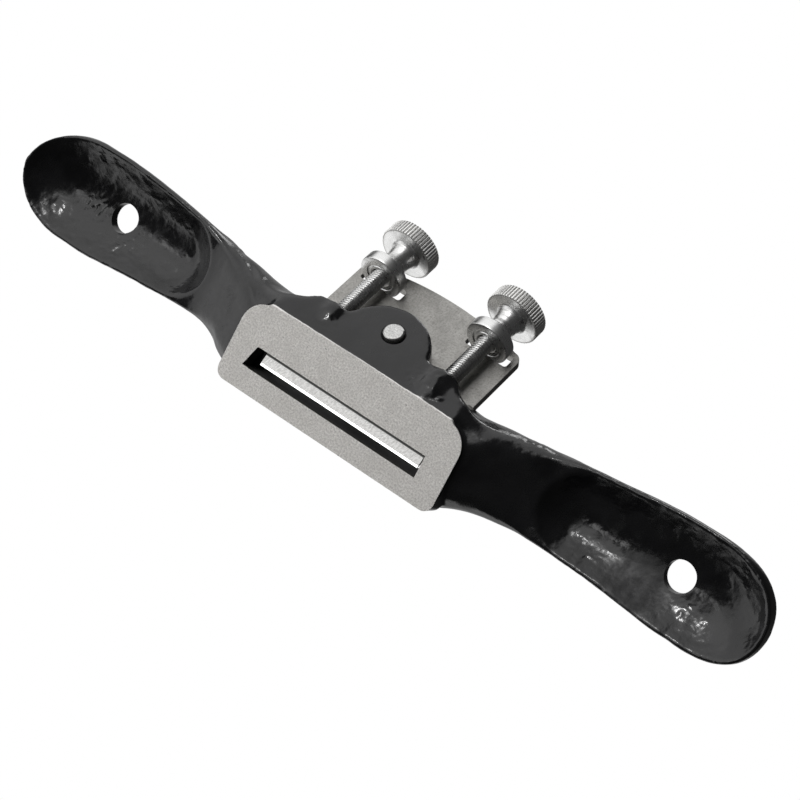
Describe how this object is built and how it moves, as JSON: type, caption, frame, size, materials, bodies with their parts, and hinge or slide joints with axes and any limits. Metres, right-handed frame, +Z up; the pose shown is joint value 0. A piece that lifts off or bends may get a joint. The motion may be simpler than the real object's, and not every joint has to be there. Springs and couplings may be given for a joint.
{
  "type": "metal spokeshave",
  "caption": "Flat-soled cast metal spokeshave with two cupped handles, an inclined cutter, two knurled depth nuts on studs and a lever cap with a thumbscrew.",
  "frame": {"origin": "on the ground sole, on the middle plane of the handles' length, 10 mm behind the edge line of the cutter", "axes": "+X along the handles, towards the handle that is at the left when the sole faces the viewer with the cutter's tail up; +Y backwards, the way the cutter leans; +Z up from the sole"},
  "size_m": [0.2532, 0.0584, 0.0401],
  "materials": {
    "enamel": "glossy black enamel over rough cast iron",
    "cutter_steel": "ground tool steel with a grey mottled back and a bright bevel",
    "bright_steel": "turned bright steel",
    "cap_enamel": "glossy black enamel on the lever cap"
  },
  "bodies": {
    "body": {"body_casting": "enamel", "stud_left": "bright_steel", "stud_right": "bright_steel"},
    "blade": {"blade": "cutter_steel"},
    "nut_left": {"nut_left": "bright_steel"},
    "nut_right": {"nut_right": "bright_steel"},
    "lever_cap": {"lever_cap": "cap_enamel"},
    "cap_thumbscrew": {"cap_thumbscrew": "bright_steel"},
    "cap_screw": {"cap_screw": "bright_steel"}
  },
  "joints": [
    {"name": "blade_slide", "type": "slide", "parent": "body", "child": "blade", "axis": [0, 0.7071, 0.7071], "range_m": [-0.0015, 0.002]},
    {"name": "nut_left_turn", "type": "hinge", "parent": "blade", "child": "nut_left", "pos_m": [0.0171, 0.02327, 0.02365], "axis": [0, 0.7071, 0.7071], "range_deg": [-720, 920]},
    {"name": "nut_right_turn", "type": "hinge", "parent": "blade", "child": "nut_right", "pos_m": [-0.0194, 0.02327, 0.02365], "axis": [0, 0.7071, 0.7071], "range_deg": [-720, 920]},
    {"name": "cap_slide", "type": "slide", "parent": "body", "child": "lever_cap", "axis": [0, 0.7071, 0.7071], "range_m": [0, 0.008]},
    {"name": "cap_thumbscrew_turn", "type": "hinge", "parent": "lever_cap", "child": "cap_thumbscrew", "pos_m": [-0.0008, 0.01688, 0.02334], "axis": [0, -0.7071, 0.7071], "range_deg": [0, 540]},
    {"name": "cap_screw_turn", "type": "hinge", "parent": "body", "child": "cap_screw", "pos_m": [-0.0008, 0.00888, 0.01534], "axis": [0, -0.7071, 0.7071], "range_deg": [0, 720]}
  ],
  "couplings": [
    {"joint": "nut_left_turn", "follows": "blade_slide", "rad_per_m": 7854},
    {"joint": "nut_right_turn", "follows": "blade_slide", "rad_per_m": 7854}
  ]
}
